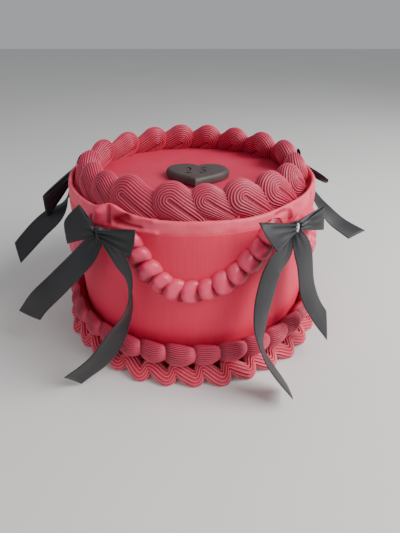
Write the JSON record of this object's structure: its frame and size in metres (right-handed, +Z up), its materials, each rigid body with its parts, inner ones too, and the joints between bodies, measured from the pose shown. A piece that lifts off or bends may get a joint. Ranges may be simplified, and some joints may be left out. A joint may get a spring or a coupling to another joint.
{
  "type": "piped buttercream cake",
  "caption": "Small round layer cake in pink buttercream with a piped rope border, beaded swags, a shell and ruffle foot, a dark heart plaque and black ribbon bows.",
  "frame": {"origin": "middle of the flat underside of the cake", "axes": "+Z up, -Y the front that the picture shows, +X to the viewer's right"},
  "size_m": [0.279, 0.2353, 0.1293],
  "materials": {
    "buttercream": "smooth matt buttercream",
    "piping_dark": "fine-ribbed piped buttercream, dark rose",
    "piping_pink": "smooth piped buttercream, pink",
    "plaque": "matt rolled sugar paste, charcoal",
    "ribbon": "black satin ribbon"
  },
  "bodies": {
    "root": {"cake_body": "buttercream", "heart": "plaque", "top_border": "piping_dark", "bottom_shells": "piping_dark", "bottom_ruffle": "piping_pink", "swag_1": "piping_pink", "swag_2": "piping_pink", "swag_3": "piping_pink", "swag_4": "piping_pink", "swag_5": "piping_pink", "bow_front_left_knot": "ribbon", "bow_front_left_loop_left": "ribbon", "bow_front_left_loop_right": "ribbon", "bow_front_left_tail_left": "ribbon", "bow_front_left_tail_right": "ribbon", "bow_front_right_knot": "ribbon", "bow_front_right_loop_left": "ribbon", "bow_front_right_loop_right": "ribbon", "bow_front_right_tail_left": "ribbon", "bow_front_right_tail_right": "ribbon", "bow_right_knot": "ribbon", "bow_right_loop_left": "ribbon", "bow_right_loop_right": "ribbon", "bow_right_tail_left": "ribbon", "bow_right_tail_right": "ribbon", "bow_back_knot": "ribbon", "bow_back_loop_left": "ribbon", "bow_back_loop_right": "ribbon", "bow_back_tail_left": "ribbon", "bow_back_tail_right": "ribbon", "bow_left_knot": "ribbon", "bow_left_loop_left": "ribbon", "bow_left_loop_right": "ribbon", "bow_left_tail_left": "ribbon", "bow_left_tail_right": "ribbon"}
  },
  "joints": []
}
